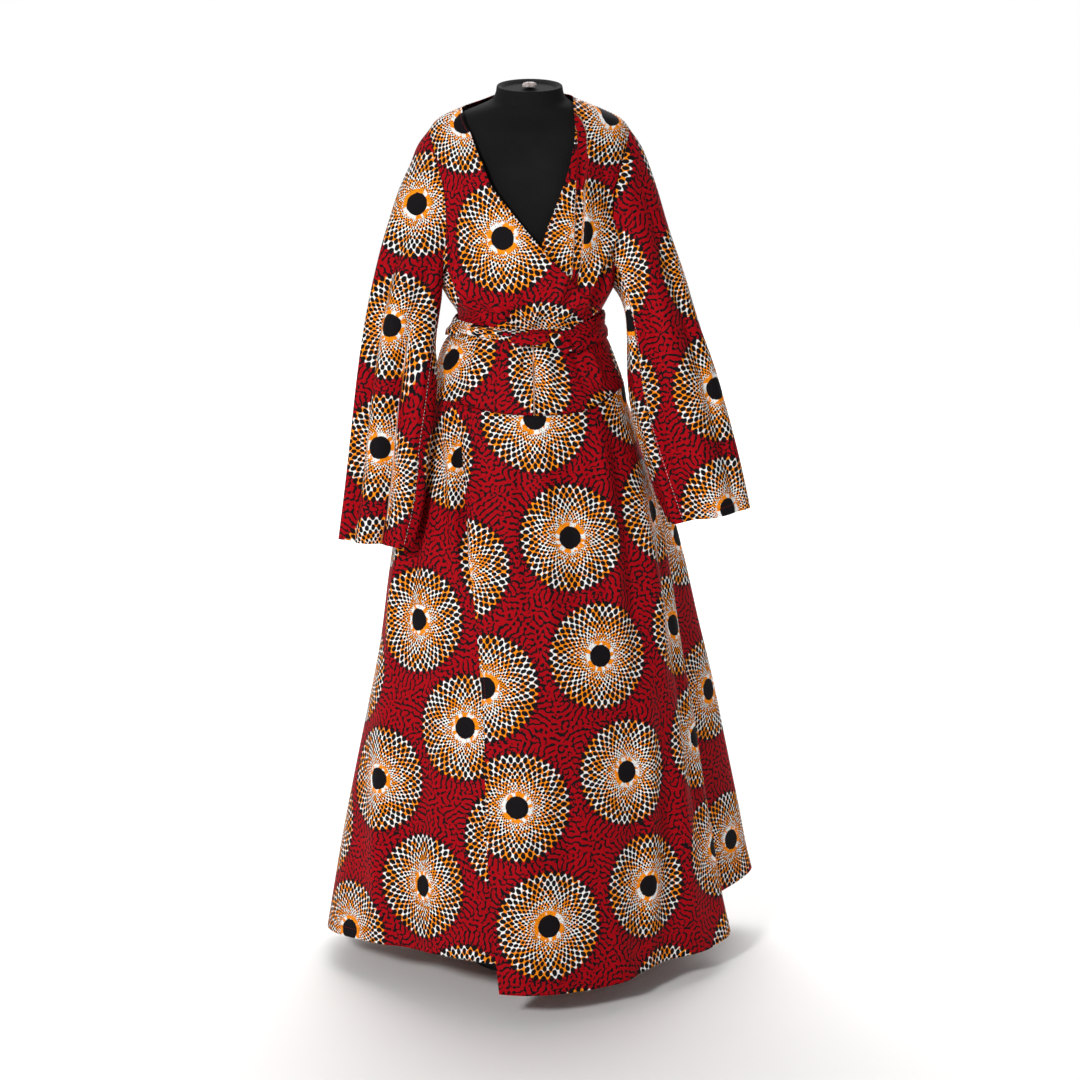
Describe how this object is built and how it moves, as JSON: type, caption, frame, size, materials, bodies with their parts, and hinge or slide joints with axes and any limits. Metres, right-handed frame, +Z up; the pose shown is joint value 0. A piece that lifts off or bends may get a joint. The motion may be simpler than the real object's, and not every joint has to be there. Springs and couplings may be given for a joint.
{
  "type": "ankara wax print wrap dress on a limbless dress form",
  "caption": "Floor-length long-sleeved cotton wrap dress with a tied sash, worn by a black limbless dress form that stands on a pole and a round base.",
  "frame": {"origin": "centre of the flat underside of the stand's round base, on the floor", "axes": "+Z up along the pole; the front of the dress faces -Y; +X to the right of a viewer who looks at the front"},
  "size_m": [0.7459, 0.5842, 1.5067],
  "materials": {
    "wax_print": "printed cotton in red with black veins and orange and white dotted medallions, crisp, faint sheen",
    "wax_print_sash": "the same printed cotton, gathered in a narrow band",
    "black_jersey": "matte black knit stretched over the form",
    "pale_fitting": "pale worn plastic",
    "black_steel": "black powder coat"
  },
  "bodies": {
    "root": {"bodice_front_left": "wax_print", "bodice_front_right": "wax_print", "bodice_back": "wax_print", "yoke_front": "wax_print", "yoke_back": "wax_print", "skirt_front_over": "wax_print", "skirt_front_under": "wax_print", "skirt_back": "wax_print", "sleeve_left": "wax_print", "sleeve_right": "wax_print", "sash_band": "wax_print_sash", "sash_knot": "wax_print_sash", "sash_loop_left": "wax_print_sash", "sash_loop_right": "wax_print_sash", "dress_form": "black_jersey", "neck_knob": "pale_fitting", "stand_pole": "black_steel", "stand_base": "black_steel"}
  },
  "joints": []
}
